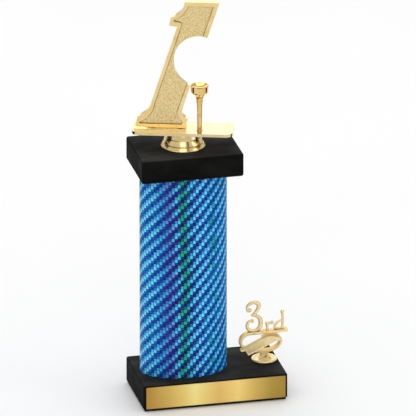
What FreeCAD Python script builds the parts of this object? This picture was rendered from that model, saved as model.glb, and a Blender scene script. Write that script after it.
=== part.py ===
import FreeCAD, Part
import math
import os
import re
import Sketcher

# Column trophy: a black stone base, an oval column, a stone lid, a gold figure on a riser
# and a small gold trim beside the column. Millimetres, +Z up, +Y to the back.
# The origin is the middle of the base's footprint, on the plane the trophy rests on.

document = FreeCAD.newDocument("column_trophy")

SIZES = {
    # base slab, the felt under it and the plate on its front
    "base_wide": 128.4,
    "base_deep": 70.6,
    "base_tall": 23.4,
    "stone_round": 2.0,
    "felt_thick": 1.2,
    "felt_margin": 1.5,
    "name_wide": 124.0,
    "name_tall": 20.0,
    "name_thick": 0.8,
    "tape_thick": 0.25,
    "tape_margin": 2.0,
    # oval column and the plugs that centre it
    "column_left": 20.9,
    "column_wide": 76.8,
    "column_deep": 51.5,
    "column_tall": 186.4,
    "wrap_thick": 0.3,
    "core_wall": 3.5,
    "plug_gap": 0.3,
    "plug_tall": 12.0,
    "plug_skin": 2.5,
    # lid slab
    "lid_left": 19.4,
    "lid_wide": 90.0,
    "lid_deep": 64.0,
    "lid_tall": 21.2,
    # quarter inch tie rod and its fasteners
    "rod_radius": 3.175,
    "rod_start": 3.0,
    "rod_hole_radius": 4.0,
    "thread_pitch": 1.27,
    "thread_groove": 0.45,
    "nut_flats": 11.1,
    "nut_tall": 5.6,
    "washer_radius": 9.5,
    "washer_thick": 1.5,
    "lock_radius": 6.1,
    "lock_thick": 1.6,
    "recess_radius": 11.0,
    "recess_deep": 12.0,
    # riser and figure
    "riser_radius": 19.6,
    "riser_tall": 13.4,
    "figure_turn": 17.5,
    "plate_wide": 88.0,
    "plate_deep": 29.0,
    "plate_thick": 2.6,
    "plate_round": 7.0,
    "boss_radius": 9.0,
    "boss_tall": 9.0,
    "figure_scale": 1.0,
    "numeral_thick": 6.0,
    "numeral_forward": 4.5,
    "plinth_deep": 16.0,
    "panel_sunk": 1.1,
    "tee_across": 14.75,
    "tee_forward": 6.0,
    "cup_radius": 12.0,
    # trim moulding and its screw
    "trim_across": 51.4,
    "trim_scale": 1.0,
    "ribbon_thick": 2.4,
    "ribbon_deep": 6.0,
    "tail_thick": 1.8,
    "stroke_radius": 1.65,
    "letter_radius": 1.15,
    "stud_radius": 3.3,
    "stud_tall": 6.0,
    "screw_radius": 1.75,
    "screw_head_radius": 3.4,
    "screw_head_tall": 2.4,
    "trim_recess_radius": 6.5,
    "trim_recess_deep": 7.0,
    "trim_washer_radius": 5.0,
    "trim_washer_thick": 0.8,
}

BASE_TOP = "felt_thick + base_tall"
LID_BOTTOM = BASE_TOP + " + column_tall"
LID_TOP = LID_BOTTOM + " + lid_tall"
PLATE_BOTTOM = LID_TOP + " + riser_tall"
PLATE_TOP = PLATE_BOTTOM + " + plate_thick"
COLUMN_X = "-column_left"
LID_X = "-lid_left"
RECESS_ROOF = "felt_thick + recess_deep"
TRIM_RECESS_ROOF = "felt_thick + trim_recess_deep"

sheet = document.addObject("Spreadsheet::Sheet", "Sizes")
for row, (cell_name, cell_value) in enumerate(SIZES.items(), start=1):
    sheet.set(f"A{row}", cell_name)
    sheet.set(f"B{row}", str(cell_value))
    sheet.setAlias(f"B{row}", cell_name)
document.recompute()

sub_parts = []


def with_sheet(formula):
    """Put the sheet's name before every cell name in a formula."""
    return re.sub(r"[a-z_]+", lambda word: "Sizes." + word[0] if word[0] in SIZES else word[0], formula)


def bind(thing, prop, formula):
    thing.setExpression(prop, with_sheet(formula))


def place(thing, x="0", y="0", z="0"):
    """Bind an object's position to the sheet."""
    bind(thing, ".Placement.Base.x", x)
    bind(thing, ".Placement.Base.y", y)
    bind(thing, ".Placement.Base.z", z)


def new_body(label, x="0", y="0", z="0"):
    body = document.addObject("PartDesign::Body", label)
    body.Label = label
    place(body, x, y, z)
    sub_parts.append(body)
    return body


def figure_body(label, across="0", forward="0", z=PLATE_TOP):
    """Body of the gold figure, which is turned on the rod towards the left of the base."""
    x = f"{COLUMN_X} + ({across}) * cos(figure_turn) - ({forward}) * sin(figure_turn)"
    y = f"-({across}) * sin(figure_turn) - ({forward}) * cos(figure_turn)"
    body = new_body(label, x, y, z)
    body.Placement.Rotation = FreeCAD.Rotation(FreeCAD.Vector(0, 0, -1), 1)
    bind(body, ".Placement.Rotation.Angle", "figure_turn")
    return body


def new_sketch(body, role, name, lift="0"):
    """Attach a sketch to one of the body's own origin planes, raised along the plane's normal."""
    sketch = body.newObject("Sketcher::SketchObject", f"{body.Name}_{name}")
    plane = next(item for item in body.Origin.OriginFeatures if item.Role == role)
    sketch.AttachmentSupport = [(plane, "")]
    sketch.MapMode = "FlatFace"
    bind(sketch, ".AttachmentOffset.Base.z", lift)
    return sketch


def constrain(sketch, formula, *what):
    """Add a dimension and bind it to the sheet."""
    value = float(sketch.evalExpression(with_sheet(formula)))
    index = sketch.addConstraint(Sketcher.Constraint(*what, value))
    bind(sketch, f"Constraints[{index}]", formula)


def fix_point(sketch, edge, end, x, y):
    """Fix one end of an edge at (x, y) from the sketch's origin."""
    constrain(sketch, x, "DistanceX", edge, end)
    constrain(sketch, y, "DistanceY", edge, end)


def arc_between(start, end, radius):
    """Arc from start to end. A positive radius turns anticlockwise, a negative one clockwise."""
    chord = end - start
    across = FreeCAD.Vector(-chord.y, chord.x, 0).normalize()
    reach = math.sqrt(max(radius * radius - chord.Length ** 2 / 4, 0))
    centre = (start + end) / 2 + across * math.copysign(reach, radius)
    first, last = (start, end) if radius > 0 else (end, start)
    angles = [math.atan2(point.y - centre.y, point.x - centre.x) for point in (first, last)]
    if angles[1] < angles[0]:
        angles[1] += 2 * math.pi
    circle = Part.Circle(centre, FreeCAD.Vector(0, 0, 1), abs(radius))
    return Part.ArcOfCircle(circle, angles[0], angles[1])


def draw_outline(sketch, corners, factor="1"):
    """Draw a closed outline. A corner is (x, y) or (x, y, radius of the arc that leaves it)."""

    def scaled(number):
        return f"({number}) * ({factor})"

    def value(number):
        return float(sketch.evalExpression(with_sheet(scaled(number))))

    points = [FreeCAD.Vector(value(corner[0]), value(corner[1]), 0) for corner in corners]
    edges = []
    for index, corner in enumerate(corners):
        start = points[index]
        end = points[(index + 1) % len(points)]
        if len(corner) == 3:
            edge = sketch.addGeometry(arc_between(start, end, value(corner[2])), False)
            first, last = (1, 2) if value(corner[2]) > 0 else (2, 1)
        else:
            edge = sketch.addGeometry(Part.LineSegment(start, end), False)
            first, last = 1, 2
        edges.append((edge, first, last))
    for index, (edge, first, last) in enumerate(edges):
        following = edges[(index + 1) % len(edges)]
        sketch.addConstraint(Sketcher.Constraint("Coincident", edge, last, following[0], following[1]))
    for corner, (edge, first, last) in zip(corners, edges):
        fix_point(sketch, edge, first, scaled(corner[0]), scaled(corner[1]))
        if len(corner) == 3:
            constrain(sketch, scaled(str(corner[2]).lstrip("-")), "Radius", edge)


def draw_circle(sketch, radius, x="0", y="0"):
    centre = [float(sketch.evalExpression(with_sheet(formula))) for formula in (x, y)]
    circle = Part.Circle(FreeCAD.Vector(*centre, 0), FreeCAD.Vector(0, 0, 1), 1)
    edge = sketch.addGeometry(circle, False)
    constrain(sketch, radius, "Radius", edge)
    fix_point(sketch, edge, 3, x, y)


def rectangle(wide, tall, low="0"):
    """Corners of a rectangle centred on x = 0, with its lower side at low."""
    return [
        (f"-({wide}) / 2", low),
        (f"({wide}) / 2", low),
        (f"({wide}) / 2", f"{low} + ({tall})"),
        (f"-({wide}) / 2", f"{low} + ({tall})"),
    ]


def centred(wide, deep):
    return rectangle(wide, deep, f"-({deep}) / 2")


def feature(body, kind, sketch, name):
    made = body.newObject(f"PartDesign::{kind}", f"{body.Name}_{name}")
    made.Profile = sketch
    return made


def pad(body, sketch, length, name="pad", both_ways=False, back=False):
    made = feature(body, "Pad", sketch, name)
    bind(made, "Length", length)
    made.SideType = "Symmetric" if both_ways else "One side"
    made.Reversed = back
    document.recompute()
    return made


def pocket(body, sketch, length, name, upward=False, both_ways=False):
    """Cut a pocket. Without upward it runs against the sketch plane's normal."""
    before = body.Shape.Volume
    made = feature(body, "Pocket", sketch, name)
    bind(made, "Length", length)
    made.SideType = "Symmetric" if both_ways else "One side"
    made.Reversed = upward
    document.recompute()
    if not body.Shape.Volume < before - 1e-3:
        raise RuntimeError(f"{made.Name} cuts nothing")
    return made


def revolve(body, corners, name="turned", factor="1"):
    """Turn an outline of (radius, height) corners about the vertical axis."""
    sketch = new_sketch(body, "XZ_Plane", name + "_outline")
    draw_outline(sketch, corners, factor)
    made = feature(body, "Revolution", sketch, name)
    made.ReferenceAxis = (sketch, ["V_Axis"])
    document.recompute()
    return made


def edges_where(shape, wanted):
    return [f"Edge{index}" for index, edge in enumerate(shape.Edges, start=1) if wanted(edge)]


def soften(body, kind, size, wanted, name):
    """Round or chamfer the edges of the body's last feature that are wanted."""
    base = body.Tip
    made = body.newObject(f"PartDesign::{kind}", f"{body.Name}_{name}")
    made.Base = (base, edges_where(base.Shape, wanted))
    bind(made, "Radius" if kind == "Fillet" else "Size", size)
    document.recompute()
    return made


def is_upright(edge):
    return edge.Length > 0.1 and abs(edge.tangentAt(edge.FirstParameter).z) > 0.999


def stone_slab(label, wide, deep, tall, x, z):
    """A sawn slab with every edge rounded."""
    body = new_body(label, x=x, z=z)
    sketch = new_sketch(body, "XY_Plane", "outline")
    draw_outline(sketch, centred(wide, deep))
    pad(body, sketch, tall)
    soften(body, "Fillet", "stone_round", lambda edge: True, "rounded")
    return body


def drill(body, radius, length, name, x="0"):
    """Drill upward from the body's lower face."""
    sketch = new_sketch(body, "XY_Plane", name + "_circle")
    draw_circle(sketch, radius, x)
    pocket(body, sketch, length, name, upward=True)


def base_slab():
    body = stone_slab("base_slab", "base_wide", "base_deep", "base_tall", "0", "felt_thick")
    drill(body, "rod_hole_radius", "base_tall", "rod_hole", COLUMN_X)
    drill(body, "recess_radius", "recess_deep", "nut_recess", COLUMN_X)
    drill(body, "stud_radius + 0.3", "base_tall", "stud_hole", "trim_across")
    drill(body, "trim_recess_radius", "trim_recess_deep", "screw_recess", "trim_across")


def base_felt():
    """Felt sheet with a round window under each recess."""
    body = new_body("base_felt")
    sketch = new_sketch(body, "XY_Plane", "outline")
    draw_outline(sketch, centred("base_wide - 2 * felt_margin", "base_deep - 2 * felt_margin"))
    draw_circle(sketch, "recess_radius + 1", COLUMN_X)
    draw_circle(sketch, "trim_recess_radius + 0.5", "trim_across")
    pad(body, sketch, "felt_thick")


def name_plate():
    """Blank metal plate with clipped corners and a bevelled front edge."""
    body = new_body("name_plate", y="-base_deep / 2 - tape_thick", z="felt_thick + base_tall / 2")
    sketch = new_sketch(body, "XZ_Plane", "outline")
    draw_outline(sketch, centred("name_wide", "name_tall"))
    pad(body, sketch, "name_thick")
    soften(body, "Fillet", "name_thick", lambda edge: edge.BoundBox.YLength > 0.1, "corners")
    front = body.Tip.Shape.BoundBox.YMin
    soften(body, "Chamfer", "name_thick / 4", lambda edge: edge.BoundBox.YMax < front + 1e-4, "bevel")


def name_plate_tape():
    body = new_body("name_plate_tape", y="-base_deep / 2", z="felt_thick + base_tall / 2")
    sketch = new_sketch(body, "XZ_Plane", "outline")
    draw_outline(sketch, centred("name_wide - 2 * tape_margin", "name_tall - 2 * tape_margin"))
    pad(body, sketch, "tape_thick")


def oval(name, inset, tall, low="0"):
    """Upright oval prism, inset from the column's outline."""
    ellipse = document.addObject("Part::Ellipse", name + "_ellipse")
    bind(ellipse, "MajorRadius", f"column_wide / 2 - ({inset})")
    bind(ellipse, "MinorRadius", f"column_deep / 2 - ({inset})")
    bind(ellipse, ".Placement.Base.z", low)
    prism = document.addObject("Part::Extrusion", name)
    prism.Base = ellipse
    prism.Dir = FreeCAD.Vector(0, 0, 1)
    prism.DirMode = "Custom"
    prism.Solid = True
    bind(prism, "LengthFwd", tall)
    return prism


def round_bar(name, radius, tall, low="0"):
    bar = document.addObject("Part::Cylinder", name)
    bind(bar, "Radius", radius)
    bind(bar, "Height", tall)
    bind(bar, ".Placement.Base.z", low)
    return bar


def cut_from(label, whole, cutter):
    result = document.addObject("Part::Cut", label)
    result.Base = whole
    result.Tool = cutter
    return result


def column_sleeve(label, outer_inset, inner_inset):
    """Open-ended oval tube between two insets."""
    outside = oval(label + "_outside", outer_inset, "column_tall")
    inside = oval(label + "_inside", inner_inset, "column_tall")
    sleeve = cut_from(label, outside, inside)
    sleeve.Label = label
    place(sleeve, COLUMN_X, "0", BASE_TOP)
    sub_parts.append(sleeve)


def column_core():
    column_sleeve("column_core", "wrap_thick", "wrap_thick + core_wall")


def column_wrap():
    column_sleeve("column_wrap", "0", "wrap_thick")


def centring_plug(label, z, turned_over):
    """Shallow oval cup with a hub around the rod. It holds one end of the column in line."""
    inset = "wrap_thick + core_wall + plug_gap"
    block = oval(label + "_block", inset, "plug_tall")
    hollow = oval(label + "_hollow", inset + " + 2.2", "plug_tall", "plug_skin")
    cup = cut_from(label + "_cup", block, hollow)
    hub = round_bar(label + "_hub", "rod_hole_radius + 3", "plug_tall")
    solid = document.addObject("Part::Fuse", label + "_solid")
    solid.Base = cup
    solid.Tool = hub
    hole = round_bar(label + "_hole", "rod_hole_radius - 0.5", "plug_tall + 2", "-1")
    plug = cut_from(label, solid, hole)
    plug.Label = label
    if turned_over:
        plug.Placement.Rotation = FreeCAD.Rotation(FreeCAD.Vector(1, 0, 0), 180)
    place(plug, COLUMN_X, "0", z)
    sub_parts.append(plug)


def lid_slab():
    body = stone_slab("lid_slab", "lid_wide", "lid_deep", "lid_tall", LID_X, LID_BOTTOM)
    drill(body, "rod_hole_radius", "lid_tall", "rod_hole", "lid_left - column_left")


def thread_rings(body, start, count, name):
    """Ring grooves that stand for a screw thread, repeated along the rod."""
    sketch = new_sketch(body, "XZ_Plane", name + "_notch")
    corners = [
        ("rod_radius - thread_groove", start),
        ("rod_radius + 0.2", f"{start} - thread_pitch * 0.38"),
        ("rod_radius + 0.2", f"{start} + thread_pitch * 0.38"),
    ]
    draw_outline(sketch, corners)
    groove = feature(body, "Groove", sketch, name)
    groove.ReferenceAxis = (sketch, ["V_Axis"])
    document.recompute()
    pattern = body.newObject("PartDesign::LinearPattern", f"{body.Name}_{name}_pattern")
    pattern.Originals = [groove]
    pattern.Direction = (sketch, ["V_Axis"])
    bind(pattern, "Length", f"thread_pitch * {count - 1}")
    pattern.Occurrences = count
    body.Tip = pattern
    document.recompute()


def tie_rod():
    """Quarter inch rod from the base's recess to the nut in the figure."""
    length = f"{PLATE_BOTTOM} - 0.5 - rod_start"
    body = new_body("tie_rod", x=COLUMN_X, z="rod_start")
    sketch = new_sketch(body, "XY_Plane", "outline")
    draw_circle(sketch, "rod_radius")
    pad(body, sketch, length)
    soften(body, "Chamfer", "thread_groove", lambda edge: not is_upright(edge), "ends")
    thread_rings(body, "thread_pitch * 1.5", 18, "lower_thread")
    thread_rings(body, f"{length} - thread_pitch * 14.5", 14, "upper_thread")


def hexagon(flats):
    """Corners of a hexagon, flat sides facing front and back."""
    corners = []
    for index in range(6):
        angle = math.radians(60 * index)
        corners.append((f"{flats} / sqrt(3) * {math.cos(angle):.6f}", f"{flats} / sqrt(3) * {math.sin(angle):.6f}"))
    return corners


def shape_hex_nut(body):
    sketch = new_sketch(body, "XY_Plane", "outline")
    draw_outline(sketch, hexagon("nut_flats"))
    draw_circle(sketch, "rod_radius + 0.05")
    pad(body, sketch, "nut_tall")


def rod_nut():
    z = f"{RECESS_ROOF} - washer_thick - lock_thick - nut_tall"
    shape_hex_nut(new_body("rod_nut", x=COLUMN_X, z=z))


def washer(label, outer, inner, thick, x, z):
    body = new_body(label, x=x, z=z)
    sketch = new_sketch(body, "XY_Plane", "outline")
    draw_circle(sketch, outer)
    draw_circle(sketch, inner)
    pad(body, sketch, thick)
    return body


def rod_washer():
    washer("rod_washer", "washer_radius", "rod_radius + 0.3", "washer_thick", COLUMN_X,
           f"{RECESS_ROOF} - washer_thick")


def rod_lock_washer():
    """Spring washer with its split at the front."""
    body = washer("rod_lock_washer", "lock_radius", "rod_radius + 0.2", "lock_thick", COLUMN_X,
                  f"{RECESS_ROOF} - washer_thick - lock_thick")
    sketch = new_sketch(body, "XY_Plane", "split_outline")
    draw_outline(sketch, rectangle("0.9", "lock_radius + 1", "-lock_radius - 1"))
    pocket(body, sketch, "lock_thick", "split", upward=True)


def riser():
    """Bell-shaped hollow riser in three tiers, with a rolled rim and two ring grooves."""
    body = new_body("riser", x=COLUMN_X, z=LID_TOP)
    wide = "riser_radius"
    tall = "riser_tall"
    corners = [
        (f"{wide} - 2.2", "0"),
        (f"{wide} - 0.5", "0", "0.5"),
        (f"{wide} - 0.5", "0.9", "22"),
        (f"{wide} * 0.895", f"{tall} * 0.25"),
        (f"{wide} * 0.850", f"{tall} * 0.26"),
        (f"{wide} * 0.850", f"{tall} * 0.31"),
        (f"{wide} * 0.885", f"{tall} * 0.32", "26"),
        (f"{wide} * 0.785", f"{tall} * 0.62"),
        (f"{wide} * 0.745", f"{tall} * 0.63"),
        (f"{wide} * 0.745", f"{tall} * 0.68"),
        (f"{wide} * 0.775", f"{tall} * 0.69", "26"),
        (f"{wide} * 0.71", tall),
        ("boss_radius + 0.5", tall),
        ("boss_radius + 0.5", f"{tall} - 1.8"),
        (f"{wide} * 0.62", f"{tall} - 1.8"),
        (f"{wide} * 0.66", f"{tall} * 0.6"),
        (f"{wide} * 0.79", f"{tall} * 0.22"),
    ]
    revolve(body, corners)


def figure_plate():
    """Flat plate under the figure, with a boss below that holds the figure's nut."""
    body = figure_body("figure_plate", z=PLATE_BOTTOM)
    sketch = new_sketch(body, "XY_Plane", "outline")
    draw_outline(sketch, centred("plate_wide", "plate_deep"))
    pad(body, sketch, "plate_thick")
    soften(body, "Fillet", "plate_round", is_upright, "corners")
    boss_sketch = new_sketch(body, "XY_Plane", "boss_circle")
    draw_circle(boss_sketch, "boss_radius")
    pad(body, boss_sketch, "boss_tall", "boss", back=True)
    nut_sketch = new_sketch(body, "XY_Plane", "nut_outline", "-boss_tall")
    draw_outline(nut_sketch, hexagon("(nut_flats + 0.3)"))
    pocket(body, nut_sketch, "nut_tall + 0.7", "nut_pocket", upward=True)
    rod_sketch = new_sketch(body, "XY_Plane", "rod_circle", "-boss_tall")
    draw_circle(rod_sketch, "rod_radius + 0.25")
    pocket(body, rod_sketch, "boss_tall", "rod_pocket", upward=True)


def figure_insert_nut():
    shape_hex_nut(figure_body("figure_insert_nut", z=f"{PLATE_BOTTOM} - boss_tall + 0.6"))


# Outline of the slanted numeral, seen from the front: x from the column's axis, z from the
# plate's top. The waist is a round bite that a ball nests in.
NUMERAL = [
    (-40.8, 3.8),
    (2.6, 3.8),
    (5.0, 11.2, -6.5),
    (-0.7, 17.2),
    (6.8, 41.9, -22.2),
    (-7.45, 62.6),
    (-7.45, 65.0, -22.2),
    (21.5, 86.1),
    (32.2, 118.4),
    (2.0, 118.4, -15.5),
    (-9.9, 104.1),
    (-11.5, 96.6),
    (-4.4, 95.7),
    (-26.7, 26.1, -16.8),
    (-38.6, 12.4),
]
# The sunk panel inside the numeral's raised border. It runs out into the round bite.
PANEL = [
    (-37.2, 5.6),
    (-0.8, 5.6),
    (0.2, 7.9),
    (-4.3, 14.3),
    (-4.3, 17.3),
    (4.4, 43.4),
    (10.0, 64.0),
    (18.5, 88.2),
    (27.2, 114.7),
    (4.9, 114.7, -19.0),
    (-5.9, 102.8),
    (-8.0, 100.6),
    (-0.9, 99.2),
    (-1.5, 94.8),
    (-24.2, 24.6, -21.0),
    (-37.2, 7.2),
]


def figure_numeral():
    """Numeral with a sunk panel on both faces, standing on a moulded plinth."""
    body = figure_body("figure_numeral", forward="numeral_forward")
    sketch = new_sketch(body, "XZ_Plane", "outline")
    draw_outline(sketch, NUMERAL, "figure_scale")
    pad(body, sketch, "numeral_thick", both_ways=True)
    for side, lift, upward in (("front", "numeral_thick / 2", False), ("back", "-numeral_thick / 2", True)):
        panel = new_sketch(body, "XZ_Plane", side + "_panel_outline", lift)
        draw_outline(panel, PANEL, "figure_scale")
        pocket(body, panel, "panel_sunk", side + "_panel", upward=upward)
    plinth = new_sketch(body, "YZ_Plane", "plinth_outline", "-41.8 * figure_scale")
    draw_outline(plinth, plinth_section())
    pad(body, plinth, "45.2 * figure_scale", "plinth")


def plinth_section():
    """Half-round moulding over a set-in foot, as (depth, height) corners."""
    upper = "plinth_deep / 2"
    lower = "plinth_deep / 2 - 1.1"
    return [
        (f"-({lower})", "0"),
        (lower, "0"),
        (lower, "1.7"),
        (upper, "2.2", "0.6"),
        (upper, "3.2"),
        (f"{upper} - 1.5", "3.9"),
        (f"-({upper} - 1.5)", "3.9"),
        (f"-({upper})", "3.2", "0.6"),
        (f"-({upper})", "2.2"),
        (f"-({lower})", "1.7"),
    ]


def golf_tee():
    """Tee beside the numeral. A golf ball rests on the rim of its dished cup."""
    body = figure_body("golf_tee", "tee_across", "tee_forward")
    corners = [
        (0, 0),
        (2.5, 0),
        (2.5, 0.7),
        (2.0, 1.3),
        (2.0, 2.6),
        (2.3, 2.9, 0.5),
        (2.0, 3.5),
        (2.3, 20.0, -40.0),
        (2.9, 27.4, -9.0),
        (7.1, 35.4),
        (7.5, 36.4),
        (7.75, 41.5),
        (7.35, 41.9, "-cup_radius"),
        (0, 39.4),
    ]
    revolve(body, corners, factor="figure_scale")


def trim_foot():
    """Dished disc with a raised ring, a threaded stud below and a forked stem above."""
    body = new_body("trim_foot", x="trim_across", z=BASE_TOP)
    corners = [
        (0, 0),
        (10.4, 0),
        (11.2, 0.8, 1.0),
        (10.3, 2.1),
        (8.9, 1.9),
        (8.3, 1.4),
        (6.4, 1.6, -9.0),
        (3.2, 3.0),
        (0, 3.0),
    ]
    revolve(body, corners, factor="trim_scale")
    stem = new_sketch(body, "XZ_Plane", "stem_outline")
    draw_outline(stem, [
        (-6.2, 1.4),
        (6.2, 1.4),
        (3.0, 6.0, -6.0),
        (4.0, 8.8),
        (-4.0, 8.8),
        (-3.0, 6.0, -6.0),
    ], "trim_scale")
    pad(body, stem, "ribbon_deep - 0.6", "stem", both_ways=True)
    window = new_sketch(body, "XZ_Plane", "window_outline")
    draw_outline(window, [(-1.9, 3.1), (1.9, 3.1), (1.2, 5.2), (-1.2, 5.2)], "trim_scale")
    pocket(body, window, "30", "window", both_ways=True)
    stud = new_sketch(body, "XY_Plane", "stud_circle")
    draw_circle(stud, "stud_radius")
    pad(body, stud, "stud_tall", "stud", back=True)
    hole = new_sketch(body, "XY_Plane", "screw_circle", "-stud_tall")
    draw_circle(hole, "screw_radius + 0.05")
    pocket(body, hole, "stud_tall + 0.5", "screw_hole", upward=True)


def spline_pipe(body, name, points, draw_section):
    """Sweep a section along a smooth curve of (x, z) points in the body's XZ plane."""
    scale = float(sheet.get("trim_scale"))
    curve = Part.BSplineCurve()
    curve.interpolate([FreeCAD.Vector(x * scale, z * scale, 0) for x, z in points])
    path = new_sketch(body, "XZ_Plane", name + "_path")
    path.addGeometry(curve, False)
    document.recompute()
    section = body.newObject("Sketcher::SketchObject", f"{body.Name}_{name}_section")
    section.AttachmentSupport = [(path, "Edge1")]
    section.MapMode = "NormalToEdge"
    section.MapPathParameter = 0
    draw_section(section)
    document.recompute()
    pipe = feature(body, "AdditivePipe", section, name)
    pipe.Spine = (path, ["Edge1"])
    pipe.Mode = "Frenet"
    document.recompute()
    return pipe


def trim_ribbon():
    """Looped ribbon under the bar. Its end crosses in front and is cut as a swallowtail."""
    body = new_body("trim_ribbon", x="trim_across", z=BASE_TOP)
    loop = [
        (-12.2, 26.4),
        (-15.2, 26.3),
        (-18.8, 24.8),
        (-21.9, 20.4),
        (-20.4, 15.6),
        (-14.0, 12.2),
        (-5.0, 10.7),
        (4.0, 10.7),
        (11.2, 12.9),
        (14.9, 17.5),
        (12.6, 21.8),
        (6.4, 23.2),
    ]
    spline_pipe(body, "loop", loop, ribbon_section)
    tail = new_sketch(body, "XZ_Plane", "tail_outline", "ribbon_deep / 2 - 0.4")
    draw_outline(tail, [
        (-22.8, 16.4),
        (-22.2, 12.8),
        (-18.9, 13.2),
        (-16.2, 8.3),
        (-5.9, 13.7),
        (0.2, 17.9),
        (6.2, 20.9),
        (12.4, 21.4),
        (9.0, 24.3),
        (-1.2, 24.9),
        (-12.6, 20.6),
    ], "trim_scale")
    pad(body, tail, "tail_thick + 0.4", "tail")
    landing = new_sketch(body, "XZ_Plane", "landing_outline")
    draw_outline(landing, rectangle("5", "1.6", "8.8"), "trim_scale")
    pad(body, landing, "ribbon_deep - 0.8", "landing", both_ways=True)


def ribbon_section(section):
    """Thin across the curve and deep from front to back, whichever way the section's x axis lies."""
    sideways = section.Placement.Rotation.multVec(FreeCAD.Vector(1, 0, 0))
    if abs(sideways.y) > 0.5:
        draw_outline(section, centred("ribbon_deep", "ribbon_thick"))
    else:
        draw_outline(section, centred("ribbon_thick", "ribbon_deep"))


def trim_bar():
    """Straight top run of the ribbon, which carries the figures."""
    body = new_body("trim_bar", x="trim_across", z=BASE_TOP)
    sketch = new_sketch(body, "XZ_Plane", "outline")
    draw_outline(sketch, [
        (-12.0, 25.4),
        (20.7, 25.4, 0.6),
        (21.3, 26.0),
        (21.3, 27.0, 0.6),
        (20.7, 27.6),
        (-12.0, 27.6),
    ], "trim_scale")
    pad(body, sketch, "ribbon_deep", both_ways=True)


def round_section(radius):
    return lambda section: draw_circle(section, radius)


def trim_numeral():
    """Script three made of an upper and a lower bow, each ending in a curl."""
    body = new_body("trim_numeral", x="trim_across", z=BASE_TOP)
    upper = [
        (-13.4, 48.3),
        (-15.7, 49.8),
        (-15.5, 52.9),
        (-12.8, 55.2),
        (-8.9, 55.9),
        (-5.5, 54.6),
        (-4.5, 51.5),
        (-5.9, 48.2),
        (-8.0, 45.9),
        (-10.2, 44.4),
    ]
    lower = [
        (-10.2, 44.2),
        (-7.0, 43.6),
        (-4.2, 41.1),
        (-3.2, 37.4),
        (-4.2, 33.2),
        (-6.9, 30.5),
        (-10.4, 29.4),
        (-14.2, 30.5),
        (-16.1, 33.2),
        (-15.6, 36.8),
        (-13.2, 39.2),
        (-10.4, 39.2),
    ]
    spline_pipe(body, "upper", upper, round_section("stroke_radius"))
    spline_pipe(body, "lower", lower, round_section("stroke_radius"))
    foot = new_sketch(body, "XZ_Plane", "foot_outline")
    draw_outline(foot, [(-12.0, 27.6), (-8.4, 27.6), (-8.4, 29.4), (-12.0, 29.4)], "trim_scale")
    pad(body, foot, "stroke_radius * 1.4", "foot", both_ways=True)


def trim_letter_r():
    body = new_body("trim_letter_r", x="trim_across", z=BASE_TOP)
    spline_pipe(body, "stem", [(2.5, 27.6), (2.5, 36.0)], round_section("letter_radius"))
    spline_pipe(body, "arm", [(2.5, 32.8), (4.6, 35.3), (6.4, 36.4), (7.6, 35.9)], round_section("letter_radius"))


def trim_letter_d():
    body = new_body("trim_letter_d", x="trim_across", z=BASE_TOP)
    spline_pipe(body, "stem", [(16.2, 27.6), (16.2, 45.2)], round_section("letter_radius"))
    bowl = [
        (16.2, 38.4),
        (12.0, 36.2),
        (9.4, 33.0),
        (9.9, 30.2),
        (12.6, 28.9),
        (16.0, 29.4),
    ]
    spline_pipe(body, "bowl", bowl, round_section("letter_radius"))


def trim_screw():
    """Round-headed screw that comes up through the base into the trim's stud."""
    body = new_body("trim_screw", x="trim_across", z=f"{TRIM_RECESS_ROOF} - trim_washer_thick - screw_head_tall")
    length = f"{BASE_TOP} - ({TRIM_RECESS_ROOF} - trim_washer_thick) - 0.6"
    corners = [
        ("0", "0"),
        ("screw_head_radius * 0.55", "0", "2.6"),
        ("screw_head_radius", "screw_head_tall"),
        ("screw_radius", "screw_head_tall"),
        ("screw_radius", f"screw_head_tall + {length}"),
        ("0", f"screw_head_tall + {length}"),
    ]
    revolve(body, corners)
    slot = new_sketch(body, "XY_Plane", "slot_outline")
    draw_outline(slot, centred("0.9", "4.2"))
    pocket(body, slot, "1.1", "slot", upward=True)
    cross = new_sketch(body, "XY_Plane", "cross_outline")
    draw_outline(cross, centred("4.2", "0.9"))
    pocket(body, cross, "1.1", "cross", upward=True)


def trim_washer():
    washer("trim_washer", "trim_washer_radius", "screw_radius + 0.2", "trim_washer_thick", "trim_across",
           f"{TRIM_RECESS_ROOF} - trim_washer_thick")


base_slab()
base_felt()
name_plate()
name_plate_tape()
column_core()
column_wrap()
centring_plug("lower_plug", BASE_TOP, False)
centring_plug("upper_plug", LID_BOTTOM, True)
lid_slab()
tie_rod()
rod_nut()
rod_washer()
rod_lock_washer()
riser()
figure_plate()
figure_insert_nut()
figure_numeral()
golf_tee()
trim_foot()
trim_ribbon()
trim_bar()
trim_numeral()
trim_letter_r()
trim_letter_d()
trim_screw()
trim_washer()
document.recompute()

for thing in document.Objects:
    if {"Invalid", "Error"} & set(thing.State):
        raise RuntimeError(f"{thing.Label} did not recompute: {thing.State}")
for part in sub_parts:
    if part.Shape.isNull() or not part.Shape.isValid() or len(part.Shape.Solids) != 1:
        raise RuntimeError(f"{part.Label} is not one valid solid")

os.makedirs("parts", exist_ok=True)
for part in sub_parts:
    part.Shape.exportStep(f"parts/{part.Label}.step")
    box = part.Shape.BoundBox
    print(f"{part.Label:18s} {part.Shape.Volume:10.1f} mm3  x {box.XMin:7.2f} {box.XMax:7.2f}"
          f"  y {box.YMin:7.2f} {box.YMax:7.2f}  z {box.ZMin:7.2f} {box.ZMax:7.2f}")
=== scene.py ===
import math

import bmesh
import bpy
from mathutils import Matrix, Vector


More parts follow.
